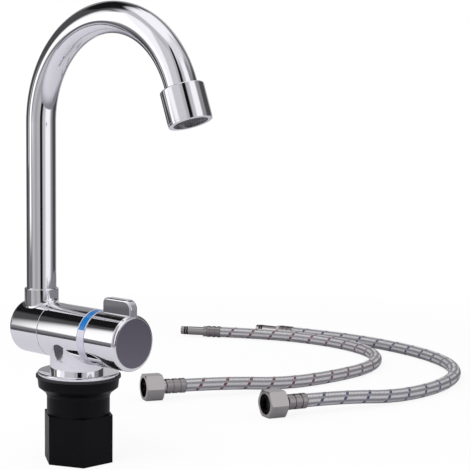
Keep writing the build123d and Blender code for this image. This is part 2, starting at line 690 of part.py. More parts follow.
def knob():
    """Knob: a chamfered cup over the cartridge, with a boss on the spindle and the fin on top."""
    shell = turned(
        (KNOB_X, 0),
        (KNOB_X, BARREL_R),
        (KNOB_END_X - KNOB_EDGE_CHAMFER, BARREL_R),
        (KNOB_END_X, BARREL_R - KNOB_EDGE_CHAMFER),
        (KNOB_END_X, 0),
    )
    shell = fillet(rims(shell, KNOB_X), BARREL_EDGE_R)
    shell += fin()
    hollow_end = KNOB_X + KNOB_HOLLOW_DEPTH
    shell -= rod(KNOB_X - OVERRUN, hollow_end, BARREL_D - 2 * KNOB_WALL)
    shell += rod(KNOB_X + KNOB_BOSS_SET_BACK, hollow_end, KNOB_BOSS_D)
    hole_side = SPINDLE_SQUARE + 2 * SEAT_CLEARANCE
    shell -= on_barrel(square_bar(hole_side, KNOB_WEB_X - KNOB_X), KNOB_X)
    shell -= rod(KNOB_WEB_X - OVERRUN, SCREW_SEAT_X + OVERRUN, KNOB_SCREW_D + 2 * SEAT_CLEARANCE)
    shell -= rod(SCREW_SEAT_X, KNOB_END_X, KNOB_SCREW_HEAD_D + 2 * END_PLAY)
    return shell - rod(PLATE_SEAT_X, KNOB_END_X + OVERRUN, END_PLATE_D + 2 * SEAT_CLEARANCE)


def knob_end_plate():
    """Round plate pressed into the knob's end, over its screw."""
    plate = rod(PLATE_SEAT_X, KNOB_END_X, END_PLATE_D)
    rim = plate.edges().filter_by(GeomType.CIRCLE).group_by(Axis.X)[-1]
    return fillet(rim, END_PLATE_EDGE_R)


def knob_screw():
    """Socket screw that holds the knob on the spindle."""
    head = rod(SCREW_SEAT_X, SCREW_SEAT_X + KNOB_SCREW_HEAD_H, KNOB_SCREW_HEAD_D)
    shank_start = SQUARE_END_X - KNOB_SCREW_DEPTH + OVERRUN
    shank = rod(shank_start, SCREW_SEAT_X, KNOB_SCREW_D - 2 * SEAT_CLEARANCE)
    socket = hexagon(KNOB_SOCKET_AF, -KNOB_SOCKET_DEPTH, OVERRUN)
    return head + shank - on_barrel(socket, SCREW_SEAT_X + KNOB_SCREW_HEAD_H)


# The hub and the spout


def stop_slot():
    """Arc slot in the hub's face, as long as the fold, with round ends for the stop pin."""
    slot_start = HUB_END_X - STOP_SLOT_DEPTH
    slot_end = HUB_END_X + OVERRUN
    half = STOP_PIN_D / 2 + STOP_SLOT_CLEARANCE
    first_turn = STOP_PIN_TURN - FOLD_ANGLE
    inner_r = STOP_CIRCLE_R - half
    outer_r = STOP_CIRCLE_R + half
    slot = barrel_arc(slot_start, slot_end, inner_r, outer_r, first_turn, FOLD_ANGLE)
    end = stop_pin_bar(2 * half, slot_start, slot_end)
    return slot + end + end.rotate(BARREL_AXIS, -FOLD_ANGLE)


def spout_hub():
    """Hub that turns on the journal: a water chamber inside, and the collar of the spout on top."""
    hub = rod(HUB_FAR_X, HUB_END_X, BARREL_D).rotate(BARREL_AXIS, 180)
    hub = fillet(rims(hub, HUB_FAR_X), HUB_EDGE_R)
    hub = fillet(rims(hub, HUB_END_X), BARREL_EDGE_R)
    hub += on_spout(post(BARREL_AXIS_Z, COLLAR_TOP_Z, COLLAR_D))
    hub = fillet(in_line_edges(hub), COLLAR_BLEND_R)
    hub = fillet(hub.edges().filter_by(GeomType.CIRCLE).sort_by(Axis.Z)[-1], COLLAR_LIP_R)
    hub -= rod(HUB_FAR_X - OVERRUN, HUB_FAR_X + CAP_POCKET_DEPTH, CAP_POCKET_D)
    hub -= rod(HUB_FAR_X, HUB_END_X + OVERRUN, JOURNAL_D + 2 * RUNNING_CLEARANCE)
    hub -= rod(SPOUT_X - CHAMBER_WIDTH / 2, SPOUT_X + CHAMBER_WIDTH / 2, CHAMBER_D)
    washer_seat_x = SEAM_X - FRICTION_WASHER_T - END_PLAY
    hub -= rod(washer_seat_x, HUB_END_X + OVERRUN, FRICTION_WASHER_D + 2 * RUNNING_CLEARANCE)
    hub -= stop_slot()
    foot_room_d = FOOT_D + 2 * RUNNING_CLEARANCE
    hub -= on_spout(post(BARREL_AXIS_Z, FOOT_Z, FOOT_INLET_D))
    hub -= on_spout(post(FOOT_FLOOR_Z, COLLAR_TOP_Z + OVERRUN, foot_room_d))
    hub -= on_spout(post(COLLAR_STEP_Z, COLLAR_TOP_Z + OVERRUN, TUBE_D + 2 * RUNNING_CLEARANCE))
    groove_d = SNAP_D + 2 * RUNNING_CLEARANCE
    return hub - on_spout(post(SNAP_Z - RUNNING_CLEARANCE, SNAP_Z + SNAP_T + RUNNING_CLEARANCE, groove_d))


def hub_end_cap():
    """Slightly domed cap, pressed into the hub's far end over the thrust washer's screw."""
    cap_d = CAP_POCKET_D - 2 * SEAT_CLEARANCE
    dome_r = ((cap_d / 2) ** 2 + CAP_DOME**2) / (2 * CAP_DOME)
    cap = rod(HUB_FAR_X - CAP_DOME, HUB_FAR_X + CAP_T, cap_d)
    return cap & Pos(HUB_FAR_X - CAP_DOME + dome_r, 0, BARREL_AXIS_Z) * Sphere(dome_r)


def spout_foot():
    """Foot soldered into the tube, with grooves for the snap ring and two seals."""
    foot = post(FOOT_Z, TUBE_FOOT_Z, FOOT_D)
    foot += post(TUBE_FOOT_Z, TUBE_FOOT_Z + FOOT_SPIGOT_LENGTH, TUBE_BORE - 2 * SEAT_CLEARANCE)
    seal_groove_d = FOOT_SEAL_D - 2 * FOOT_SEAL_SECTION - 2 * SEAT_CLEARANCE
    for z in (FOOT_SEAL_LOW_Z, FOOT_SEAL_HIGH_Z):
        foot -= collar(z, z + FOOT_SEAL_WIDTH, FOOT_D + OVERRUN, seal_groove_d)
    snap_groove_d = FOOT_D - 2 * SNAP_GROOVE_DEPTH
    groove_top = SNAP_Z + SNAP_T + SEAT_CLEARANCE
    foot -= collar(SNAP_Z - SEAT_CLEARANCE, groove_top, FOOT_D + OVERRUN, snap_groove_d)
    foot -= post(FOOT_Z - OVERRUN, TUBE_FOOT_Z + FOOT_SPIGOT_LENGTH + OVERRUN, FOOT_BORE)
    return on_spout(foot)


def spout_o_rings():
    """Two seals in the foot's grooves."""
    inset = (FOOT_SEAL_WIDTH - FOOT_SEAL_SECTION) / 2
    places = (FOOT_SEAL_LOW_Z + inset, FOOT_SEAL_HIGH_Z + inset)
    return Compound([on_spout(o_ring(z, FOOT_SEAL_D, FOOT_SEAL_SECTION)) for z in places])


def spout_snap_ring():
    """Open ring, half in the foot's groove and half in the collar's, that holds the spout down."""
    inner_r = FOOT_D / 2 - SNAP_GROOVE_DEPTH + SEAT_CLEARANCE
    outline = Polyline(
        (inner_r, 0, SNAP_Z),
        (SNAP_D / 2, 0, SNAP_Z),
        (SNAP_D / 2, 0, SNAP_Z + SNAP_T),
        (inner_r, 0, SNAP_Z + SNAP_T),
        close=True,
    )
    return on_spout(revolve(make_face(outline), Axis.Z, 360 - SNAP_GAP_ANGLE))


def spout_slide_ring():
    """Slide ring on the collar's step, which the tube's end turns on."""
    ring = collar(COLLAR_STEP_Z, COLLAR_STEP_Z + SLIDE_RING_T, TUBE_D, FOOT_D + 2 * RUNNING_CLEARANCE)
    return on_spout(ring)


def spout_tube():
    """Round tube: straight up from the collar, over in one arc, and a short straight end."""
    rise = Line((SPOUT_X, 0, TUBE_FOOT_Z), (SPOUT_X, 0, ARC_START_Z))
    arch = CenterArc((0, 0), ARC_R, 180, -ARC_ANGLE)
    arch = Plane(origin=(ARC_CENTRE_X, 0, ARC_START_Z), x_dir=(1, 0, 0), z_dir=(0, -1, 0)) * arch
    end = Line(arch @ 1, arch @ 1 + (arch % 1) * TUBE_END_LENGTH)
    path = rise + arch + end
    profile = Circle(TUBE_D / 2) - Circle(TUBE_BORE / 2)
    return sweep(Pos(SPOUT_X, 0, TUBE_FOOT_Z) * profile, path)


def spout_socket():
    """Socket soldered on the tube's end, with the aerator's thread in its mouth."""
    socket = post(SOCKET_START, SOCKET_END, SOCKET_D)
    socket = fillet(socket.edges().filter_by(GeomType.CIRCLE).sort_by(Axis.Z)[0], SOCKET_EDGE_R)
    socket -= post(SOCKET_START - OVERRUN, TUBE_END_LENGTH, TUBE_D + 2 * SEAT_CLEARANCE)
    socket -= post(TUBE_END_LENGTH - OVERRUN, SOCKET_STOP_END, SOCKET_STOP_BORE)
    return on_outlet(socket - post(SOCKET_STOP_END, SOCKET_END + OVERRUN, SOCKET_THREAD_D))


def aerator_shell():
    """Threaded shell of the aerator, with a lip outside and a seat for the mesh inside."""
    thread_r = SOCKET_THREAD_D / 2 - SEAT_CLEARANCE
    outline = [
        (AERATOR_BORE / 2, INSERT_START),
        (thread_r, INSERT_START),
        (thread_r, SOCKET_END),
        (AERATOR_LIP_D / 2, SOCKET_END),
        (AERATOR_LIP_D / 2, OUTLET_END),
        (AERATOR_SEAT_BORE / 2, OUTLET_END),
        (AERATOR_SEAT_BORE / 2, MESH_END),
        (AERATOR_BORE / 2, MESH_END),
    ]
    shell = upright(*outline)
    rim = shell.edges().filter_by(GeomType.CIRCLE).group_by(Axis.Z)[-1].sort_by(SortBy.RADIUS)[-1]
    return on_outlet(fillet(rim, BARREL_EDGE_R))


def aerator_washer():
    """Rubber washer between the socket's step and the aerator."""
    washer_d = SOCKET_THREAD_D - 2 * SEAT_CLEARANCE
    return on_outlet(collar(SOCKET_STOP_END, INSERT_START, washer_d, SOCKET_STOP_BORE))


def aerator_insert():
    """Plastic insert: a plate with a ring of small holes, over a room open to the mesh."""
    insert = post(INSERT_START, MESH_START, AERATOR_BORE - 2 * SEAT_CLEARANCE)
    insert -= post(INSERT_START + INSERT_PLATE_T, MESH_START + OVERRUN, INSERT_ROOM_D)
    hole = post(INSERT_START - OVERRUN, INSERT_START + INSERT_PLATE_T + OVERRUN, INSERT_HOLE_D)
    places = PolarLocations(INSERT_HOLE_CIRCLE_R, INSERT_HOLE_COUNT)
    return on_outlet(insert - [place * hole for place in places])


def aerator_mesh():
    """Grille at the outlet: a thin disc with a grid of square holes."""
    mesh_d = AERATOR_BORE - 2 * SEAT_CLEARANCE
    pitch = MESH_HOLE_W + MESH_BAR_W
    count = int(AERATOR_SEAT_BORE / pitch)
    reach = AERATOR_SEAT_BORE / 2 - MESH_HOLE_W
    places = [place for place in GridLocations(pitch, pitch, count, count) if place.position.length < reach]
    grid = Circle(mesh_d / 2) - [place * Rectangle(MESH_HOLE_W, MESH_HOLE_W) for place in places]
    return on_outlet(Pos(0, 0, MESH_START) * extrude(grid, MESH_T))


# The hoses


def hose_points(plan):
    """Centre line of a hose: at the union's height first, and at the tail's height last."""
    heights = [UNION_AXIS_HEIGHT] * 2 + [HOSE_REST] * (len(plan) - 4) + [TAIL_AXIS_HEIGHT] * 2
    return [Vector(x, y, FLOOR_Z + height) for (x, y), height in zip(plan, heights)]


def at_union(plan, piece):
    """Piece built on Z from the union nut's face, laid at the hose's first point, flat side down."""
    first, second = hose_points(plan)[:2]
    along = (second - first).normalized()
    across = Vector(0, 0, 1).cross(along)
    return Plane(origin=first - along * UNION_REACH, x_dir=across, z_dir=along) * piece


def at_tail(plan, piece):
    """Piece built on Z from the tail's tip, laid at the hose's last point, flat side down."""
    before, last = hose_points(plan)[-2:]
    along = (before - last).normalized()
    across = Vector(0, 0, 1).cross(along)
    return Plane(origin=last - along * TAIL_REACH, x_dir=across, z_dir=along) * piece


def hose(plan):
    """Hose: straight runs joined by arcs as large as the runs allow. It prints its radii."""
    points = hose_points(plan)
    runs = [after - before for before, after in zip(points, points[1:])]
    radii = []
    for before, after in zip(runs, runs[1:]):
        half_turn = math.radians(before.get_angle(after)) / 2
        radii.append(HOSE_CORNER_SHARE * min(before.length, after.length) / math.tan(half_turn))
    path = FilletPolyline(*points, radius=radii)
    tube = sweep(Plane(origin=points[0], z_dir=runs[0]) * Circle(HOSE_D / 2), path)
    expected = path.length * math.pi * (HOSE_D / 2) ** 2
    print("hose radii", [round(radius) for radius in radii], "length", round(path.length, 1))
    print("hose volume", round(tube.volume, 1), "expected", round(expected, 1))
    return tube


def crimped_ferrule(start, length, diameter):
    """Sleeve on a barb, with two rolled grooves and rounded ends."""
    sleeve_body = post(start, start + length, diameter)
    sleeve_body = fillet(sleeve_body.edges().filter_by(GeomType.CIRCLE), FERRULE_EDGE_R)
    for share in FERRULE_GROOVE_SHARES:
        z = start + share * length
        groove = collar(z, z + FERRULE_GROOVE_W, diameter + OVERRUN, diameter - 2 * FERRULE_GROOVE_DEPTH)
        sleeve_body -= groove
    bore_end = start + length - BARB_SHORT_OF_FERRULE
    return sleeve_body - post(start - OVERRUN, bore_end, BARB_D + 2 * SEAT_CLEARANCE)


def union_nut():
    """Hexagon nut with chamfered corners, a thread in front and a round hole behind."""
    corner_r = UNION_AF / math.sqrt(3)
    nut = hexagon(UNION_AF, 0, UNION_LENGTH)
    nut &= upright(
        (0, 0),
        (corner_r - UNION_EDGE_CHAMFER, 0),
        (corner_r, UNION_EDGE_CHAMFER / 2),
        (corner_r, UNION_LENGTH - UNION_EDGE_CHAMFER / 2),
        (corner_r - UNION_EDGE_CHAMFER, UNION_LENGTH),
        (0, UNION_LENGTH),
    )
    nut -= post(-OVERRUN, UNION_THREAD_DEPTH, UNION_THREAD_D)
    nut -= post(-OVERRUN, UNION_ROOM_DEPTH, UNION_ROOM_D)
    return nut - post(-OVERRUN, UNION_LENGTH + OVERRUN, UNION_BACK_BORE)


def nut_nipple():
    """Flanged nipple: its flange is held by the union nut, and its barb is in the hose."""
    nipple = post(NIPPLE_FLANGE_Z, NIPPLE_FLANGE_Z + NIPPLE_FLANGE_T, NIPPLE_FLANGE_D)
    nipple += post(NIPPLE_FLANGE_Z, NIPPLE_NECK_END, NIPPLE_NECK_D)
    nipple += post(NIPPLE_FLANGE_Z, UNION_REACH - 2 * BARB_SHORT_OF_FERRULE, BARB_D)
    return nipple - post(NIPPLE_FLANGE_Z - OVERRUN, UNION_REACH, NIPPLE_BORE)


def nut_washer():
    """Rubber washer in front of the nipple's flange."""
    return collar(UNION_WASHER_Z, NIPPLE_FLANGE_Z, NIPPLE_FLANGE_D, UNION_WASHER_BORE)


def tail_groove_places():
    """Starts of the tail's two seal grooves, counted from its tip."""
    return [TAIL_TIP_LENGTH, TAIL_TIP_LENGTH + TAIL_GROOVE_STEP]


def tail():
    """Tail that screws into the body: a plain tip with two grooves, a thread, a hexagon and a barb."""
    thread_start = tail_groove_places()[-1] + TAIL_GROOVE_STEP
    piece = post(0, thread_start, TAIL_TIP_D)
    piece += post(thread_start, TAIL_NECK_END, TAIL_THREAD_D)
    piece += hexagon(TAIL_HEX_AF, TAIL_NECK_END, TAIL_HEX_END)
    piece += post(TAIL_HEX_END, TAIL_REACH - 2 * BARB_SHORT_OF_FERRULE, BARB_D)
    for start in tail_groove_places():
        piece -= collar(start, start + TAIL_GROOVE_W, TAIL_THREAD_D, TAIL_GROOVE_D)
    return piece - post(-OVERRUN, TAIL_REACH, TAIL_BORE)


def tail_o_rings():
    """Two seals in the tail's grooves."""
    section = (TAIL_O_RING_D - TAIL_GROOVE_D) / 2 - SEAT_CLEARANCE
    inset = (TAIL_GROOVE_W - section) / 2
    return Compound([o_ring(start + inset, TAIL_O_RING_D, section) for start in tail_groove_places()])


def hose_set(colour, plan):
    """All pieces of one hose, by name, where they lie."""
    nut_sleeve = crimped_ferrule(NIPPLE_NECK_END, NUT_FERRULE_LENGTH, NUT_FERRULE_D)
    tail_sleeve = crimped_ferrule(TAIL_HEX_END, TAIL_FERRULE_LENGTH, TAIL_FERRULE_D)
    return {
        colour + "_hose": hose(plan),
        colour + "_union_nut": at_union(plan, union_nut()),
        colour + "_nut_washer": at_union(plan, nut_washer()),
        colour + "_nut_nipple": at_union(plan, nut_nipple()),
        colour + "_nut_ferrule": at_union(plan, nut_sleeve),
        colour + "_tail": at_tail(plan, tail()),
        colour + "_tail_o_rings": at_tail(plan, tail_o_rings()),
        colour + "_tail_ferrule": at_tail(plan, tail_sleeve),
    }


# All pieces, each to a file of its own name

PIECES = [
    tap_body,
    base_flange,
    worktop_gasket,
    threaded_shank,
    mounting_nut,
    fold_journal,
    journal_o_rings,
    fold_friction_washer,
    fold_stop_pin,
    hub_thrust_washer,
    hub_retaining_screw,
    cold_mark,
    hot_mark,
    indicator_ring,
    cartridge_base,
    cartridge_seals,
    cartridge_fixed_disc,
    cartridge_housing,
    cartridge_gland_nut,
    cartridge_moving_disc,
    cartridge_spindle,
    knob,
    knob_end_plate,
    knob_screw,
    spout_hub,
    hub_end_cap,
    spout_foot,
    spout_o_rings,
    spout_snap_ring,
    spout_slide_ring,
    spout_tube,
    spout_socket,
    aerator_shell,
    aerator_washer,
    aerator_insert,
    aerator_mesh,
]

model = {piece.__name__: piece() for piece in PIECES}
model.update(hose_set("red", RED_ROUTE))
model.update(hose_set("blue", BLUE_ROUTE))
for name, solid in model.items():
    export_step(solid, "parts/" + name + ".step")
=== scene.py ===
import json
import math

import bpy
import numpy as np
from mathutils import Matrix, Vector


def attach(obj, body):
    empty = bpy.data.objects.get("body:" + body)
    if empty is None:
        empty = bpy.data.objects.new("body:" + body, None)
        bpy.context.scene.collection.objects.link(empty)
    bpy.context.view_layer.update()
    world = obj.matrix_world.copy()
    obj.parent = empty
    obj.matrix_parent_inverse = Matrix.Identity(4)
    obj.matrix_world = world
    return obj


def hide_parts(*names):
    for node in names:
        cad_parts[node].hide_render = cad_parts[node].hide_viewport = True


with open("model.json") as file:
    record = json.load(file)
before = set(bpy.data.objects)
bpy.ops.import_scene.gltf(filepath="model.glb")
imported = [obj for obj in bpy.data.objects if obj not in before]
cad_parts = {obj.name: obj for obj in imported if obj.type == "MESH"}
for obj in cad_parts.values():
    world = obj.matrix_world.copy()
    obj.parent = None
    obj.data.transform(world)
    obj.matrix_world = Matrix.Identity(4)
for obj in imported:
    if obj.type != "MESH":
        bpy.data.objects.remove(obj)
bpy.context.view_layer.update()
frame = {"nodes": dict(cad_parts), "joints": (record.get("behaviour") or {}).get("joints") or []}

# The view of the photograph: a long lens, low and to the right of the spout,
# with the tap at the left of the picture.

CAMERA_PLACE = (0.59466, -0.53658, 0.16419)
CAMERA_BACK = (0.7384, -0.6662, 0.1045)
CAMERA_RIGHT = (0.6699, 0.7425, 0.0)
LENS_MM = 99.47
SENSOR_MM = 36.0
SHIFT = (0.3334, 0.0298)

camera_up = np.cross(CAMERA_BACK, CAMERA_RIGHT)
camera_data = bpy.data.cameras.new("camera")
camera_data.lens = LENS_MM
camera_data.sensor_width = SENSOR_MM
camera_data.shift_x, camera_data.shift_y = SHIFT
camera = bpy.data.objects.new("camera", camera_data)
bpy.context.scene.collection.objects.link(camera)
columns = np.array([CAMERA_RIGHT, camera_up, CAMERA_BACK, CAMERA_PLACE]).T
camera.matrix_world = Matrix([*columns.tolist(), (0.0, 0.0, 0.0, 1.0)])
bpy.context.scene.camera = camera

# The supply hoses: rubber inside a braid of fine steel wires, with a pair of
# coloured plaits wound among them, which shows as short slanting dashes. They lie
# loose on the floor.

FLOOR_Z = -0.053
HOSE_D = 0.010
UNION_HEIGHT = 0.0096
HOSE_HEIGHT = 0.0051
TAIL_HEIGHT = 0.0057
MM_PER_M = 1000
ROUTE_END_POINTS = 2
ROUTE_ORDER = 3
ROUTE_STEPS = 36
RED_ROUTE = [(-77, 179), (-61, 210), (-43, 257), (-34, 311), (-37, 366),
             (-63, 411), (-104, 434), (-151, 438), (-197, 423), (-236, 399)]
BLUE_ROUTE = [(18, 205), (30, 237), (43, 282), (46, 333), (32, 383),
              (2, 424), (-42, 450), (-92, 462), (-143, 460), (-188, 450)]

BRAID_PITCH = 0.020
BRAID_PLAITS = 16
BRAID_REPEAT = 4
COLOURED_PLAITS = 2
WIRES_PER_PLAIT = 5
WIRE_SHARE = 0.3
PLAIT_EDGE_SHARE = 0.16
PLAIT_EDGE_SOFT_SHARE = 0.14
# The falling rows' share of the relief: they are bumped lower and also painted darker as shade.
FALLING_RELIEF_AND_SHADE = 0.34
PLAIT_ROUNDNESS = 0.7
BRAID_RELIEF = 0.00035
WIRE_RELIEF = 0.00012
WIRE_SHARPNESS = 0.8
GRIME_SCALE = 700.0
GRIME_SHARE = 0.2
TRACER_SHARE = 0.95
BRAID_METALLIC = 0.38
BRAID_ROUGHNESS = 0.34
BRAID_ROUGHNESS_RANGE = 0.14
# The steel's colour from the low gaps to the tops of the plaits: the dark is painted shade.
BRAID_PAINTED_GAP_SHADE = (0.05, 0.048, 0.052)
BRAID_BRIGHT = (1.0, 0.99, 1.0)
BRAID_DULL = (0.40, 0.39, 0.41)
SIDES_PER_PLAIT = 6
RING_STEP = 0.00045


def route_line(name, plan):
    """Points of the smooth line that a hose follows, read from the NURBS spline of its route."""
    heights = [HOSE_HEIGHT] * len(plan)
    heights[:ROUTE_END_POINTS] = [UNION_HEIGHT] * ROUTE_END_POINTS
    heights[-ROUTE_END_POINTS:] = [TAIL_HEIGHT] * ROUTE_END_POINTS
    curve = bpy.data.curves.new(name, "CURVE")
    curve.dimensions = "3D"
    spline = curve.splines.new("NURBS")
    spline.points.add(len(plan) - 1)
    for point, (x, y), height in zip(spline.points, plan, heights):
        point.co = (x / MM_PER_M, y / MM_PER_M, FLOOR_Z + height, 1.0)
    spline.order_u = ROUTE_ORDER
    spline.use_endpoint_u = True
    spline.resolution_u = ROUTE_STEPS
    route = bpy.data.objects.new(name, curve)
    mesh = bpy.data.meshes.new_from_object(route)
    line = np.zeros(len(mesh.vertices) * 3)
    mesh.vertices.foreach_get("co", line)
    bpy.data.objects.remove(route)
    return line.reshape(-1, 3)


def grid_mesh(name, points, uv=None, wrap=True, caps=True):
    """Mesh of a grid of points, rings by sides. Wrap joins the last side to the first, caps close
    the first ring and the last, and uv is each ring's place along the surface."""
    rings, sides = points.shape[:2]
    index = np.arange(rings * sides).reshape(rings, sides)
    net = np.hstack([index, index[:, :1]]) if wrap else index
    quads = np.stack([net[:-1, :-1], net[:-1, 1:], net[1:, 1:], net[1:, :-1]], axis=-1)
    faces = quads.reshape(-1, 4).tolist()
    if caps:
        faces += [index[0, ::-1].tolist(), index[-1].tolist()]
    mesh = bpy.data.meshes.new(name)
    mesh.from_pydata(points.reshape(-1, 3).tolist(), [], faces)
    if uv is not None:
        layer = mesh.uv_layers.new(name="wrap")
        corner = np.zeros((len(mesh.loops), 2))
        flat = quads.reshape(-1, 4)
        ring, side = flat // sides, flat % sides
        # The corners that lie a side ahead, which on the last side close the full turn.
        ahead = np.array([False, True, True, False])
        share = side / sides + (ahead & (side == 0))
        corner[: flat.size] = np.stack([share.ravel(), uv[ring].ravel()], axis=-1)
        layer.data.foreach_set("uv", corner.ravel())
    mesh.shade_smooth()
    piece = bpy.data.objects.new(name, mesh)
    bpy.context.scene.collection.objects.link(piece)
    return piece


def braid_height(around, along):
    """Height of the braid, nought to one: in each row of plaits either those that rise or those
    that fall lie on top, and each plait is rounded across its width."""
    rising = (around + along) * BRAID_PLAITS
    falling = (around - along) * BRAID_PLAITS
    over = (np.floor(rising) + np.floor(falling)) % BRAID_REPEAT > (BRAID_REPEAT - 1) / 2
    across = np.where(over, rising % 1, falling % 1)
    return np.sin(math.pi * across) ** PLAIT_ROUNDNESS


def braided_tube(name, line, radius):
    """Round tube: rings at even steps square to the line, sunk from the radius between the plaits
    of the braid. UV runs once around, and along in braid pitches."""
    run = np.r_[0, np.cumsum(np.linalg.norm(np.diff(line, axis=0), axis=1))]
    steps = np.linspace(0, run[-1], round(run[-1] / RING_STEP))
    middle = np.stack([np.interp(steps, run, line[:, axis]) for axis in range(3)], axis=-1)
    tangent = np.stack([np.interp(steps, run, part) for part in np.gradient(line, run, axis=0).T], axis=-1)
    tangent /= np.linalg.norm(tangent, axis=1, keepdims=True)
    side = np.cross((0.0, 0.0, 1.0), tangent)
    side /= np.linalg.norm(side, axis=1, keepdims=True)
    up = np.cross(tangent, side)
    share = np.arange(BRAID_PLAITS * SIDES_PER_PLAIT) / (BRAID_PLAITS * SIDES_PER_PLAIT)
    turn = 2 * math.pi * share
    around = np.cos(turn)[None, :, None] * side[:, None] + np.sin(turn)[None, :, None] * up[:, None]
    along = steps / BRAID_PITCH
    sunk = BRAID_RELIEF * (1 - braid_height(share[None, :], along[:, None]))
    points = middle[:, None] + (radius - sunk)[:, :, None] * around
    return grid_mesh(name, points, uv=along), run[-1]


class Field:
    """A shader socket in a formula: the operators add the Math nodes that work it out."""

    def __init__(self, tree, socket):
        self.tree = tree
        self.socket = socket

    def math(self, operation, *others):
        node = self.tree.nodes.new("ShaderNodeMath")
        node.operation = operation
        for number, value in enumerate((self, *others)):
            if isinstance(value, Field):
                self.tree.links.new(value.socket, node.inputs[number])
            else:
                node.inputs[number].default_value = value
        return Field(self.tree, node.outputs[0])

    def __add__(self, other):
        return self.math("ADD", other)

    def __sub__(self, other):
        return self.math("SUBTRACT", other)

    def __rsub__(self, other):
        return self.math("MULTIPLY", -1.0) + other

    def __mul__(self, other):
        return self.math("MULTIPLY", other)

    def __mod__(self, other):
        return self.math("FLOORED_MODULO", other)

    __radd__ = __add__
    __rmul__ = __mul__

    def floor(self):
        return self.math("FLOOR")

    def sine(self):
        return self.math("SINE")

    def step(self, low, high):
        """Nought below low and one above high, with a smooth change between them."""
        node = self.tree.nodes.new("ShaderNodeMapRange")
        node.interpolation_type = "SMOOTHSTEP"
        node.inputs["From Min"].default_value = low
        node.inputs["From Max"].default_value = high
        self.tree.links.new(self.socket, node.inputs["Value"])
        return Field(self.tree, node.outputs["Result"])

    def within(self, low, high, soft):
        """One between low and high, falling to nought over the width soft outside them."""
        return self.step(low - soft, low) * (1 - self.step(high, high + soft))


class Finish:
    """The nodes of one material, world or light, cleared and built up again."""

    # The Mix node's sockets for colours go by number, because others have the same names.
    MIX_SHARE = 0
    MIX_FIRST = 6
    MIX_SECOND = 7
    MIX_RESULT = 2

    def __init__(self, owner):
        owner.use_nodes = True
        self.tree = owner.node_tree
        self.tree.nodes.clear()

    def add(self, kind, settings=None, inputs=None):
        """A node of a kind, with its settings first and then the values or links of its sockets."""
        node = self.tree.nodes.new(kind)
        for name, value in (settings or {}).items():
            setattr(node, name, value)
        for name, value in (inputs or {}).items():
            if isinstance(value, Field):
                self.tree.links.new(value.socket, node.inputs[name])
            elif isinstance(value, bpy.types.NodeSocket):
                self.tree.links.new(value, node.inputs[name])
            else:
                node.inputs[name].default_value = value
        return node

    def field(self, node, output=0):
        return Field(self.tree, node.outputs[output])

    def split(self, socket):
        """The three numbers of a vector."""
        node = self.add("ShaderNodeSeparateXYZ", inputs={"Vector": socket})
        return [self.field(node, axis) for axis in "XYZ"]

    def place(self):
        """The place of a point on the piece, in metres."""
        return self.add("ShaderNodeTexCoord").outputs["Object"]

    def noise(self, scale, detail=2.0):
        """Cloudy pattern between nought and one, with features of about 1 / scale metres."""
        inputs = {"Vector": self.place(), "Scale": scale, "Detail": detail}
        return self.field(self.add("ShaderNodeTexNoise", inputs=inputs), "Fac")

    def blend(self, share, first, second):
        """Colour that goes from first to second as the share goes from nought to one."""
        ends = [(*end, 1.0) if isinstance(end, tuple) else end for end in (first, second)]
        inputs = {self.MIX_SHARE: share, self.MIX_FIRST: ends[0], self.MIX_SECOND: ends[1]}
        node = self.add("ShaderNodeMix", {"data_type": "RGBA"}, inputs)
        return self.field(node, self.MIX_RESULT)

    def bump(self, height, depth, strength=1.0):
        """Normals of a surface that the height raises, by the depth in metres where it is one."""
        inputs = {"Height": height, "Distance": depth, "Strength": strength}
        return self.add("ShaderNodeBump", inputs=inputs).outputs["Normal"]

    def surface(self, **sockets):
        """The Principled shader as the material's surface, with the sockets that are given."""
        inputs = {}
        for name, value in sockets.items():
            inputs[name.replace("_", " ").title().replace("Ior", "IOR")] = value
        shader = self.add("ShaderNodeBsdfPrincipled", inputs=inputs)
        self.add("ShaderNodeOutputMaterial", inputs={"Surface": shader.outputs[0]})


def braid(name, tracer):
    """Braid of flat plaits of wires, two over and two under, of which a pair is coloured. The
    rows that fall are bumped lower than those that rise. The steel's colour holds painted
    shade: darker in the gaps between plaits and between wires, and on the falling rows."""
    material = bpy.data.materials.new(name)
    nodes = Finish(material)
    wrap = nodes.add("ShaderNodeUVMap", {"uv_map": "wrap"}).outputs[0]
    around, along, _ = nodes.split(wrap)
    rising = (around + along) * BRAID_PLAITS
    falling = (around - along) * BRAID_PLAITS
    row = (rising.floor() + falling.floor()) % BRAID_REPEAT
    over = row.math("GREATER_THAN", (BRAID_REPEAT - 1) / 2)
    heights = []
    for plait in (rising, falling):
        part = plait % 1
        wires = (part * (WIRES_PER_PLAIT * 2 * math.pi)).sine() * 0.5 + 0.5
        edge = part.within(PLAIT_EDGE_SHARE, 1 - PLAIT_EDGE_SHARE, PLAIT_EDGE_SOFT_SHARE)
        heights.append(edge * ((1 - WIRE_SHARE) + wires * WIRE_SHARE))
    # Relief of the braid, which gives the bump and also the painted shade of the steel.
    relief_and_shade = over * heights[0] + (1 - over) * heights[1] * FALLING_RELIEF_AND_SHADE
    coloured = (rising.floor() % BRAID_PLAITS).math("LESS_THAN", COLOURED_PLAITS) * over
    grime = nodes.noise(GRIME_SCALE)
    # Painted shade: the steel is darker where the braid is low, between plaits and wires and on the
    # falling rows.
    steel = nodes.blend(relief_and_shade, BRAID_PAINTED_GAP_SHADE, BRAID_BRIGHT)
    steel = nodes.blend(grime * GRIME_SHARE, steel, BRAID_DULL)
    nodes.surface(
        base_color=nodes.blend(coloured * TRACER_SHARE, steel, tracer),
        metallic=(1 - coloured) * BRAID_METALLIC,
        roughness=BRAID_ROUGHNESS + grime * BRAID_ROUGHNESS_RANGE,
        normal=nodes.bump(relief_and_shade, WIRE_RELIEF, WIRE_SHARPNESS),
    )
    return material


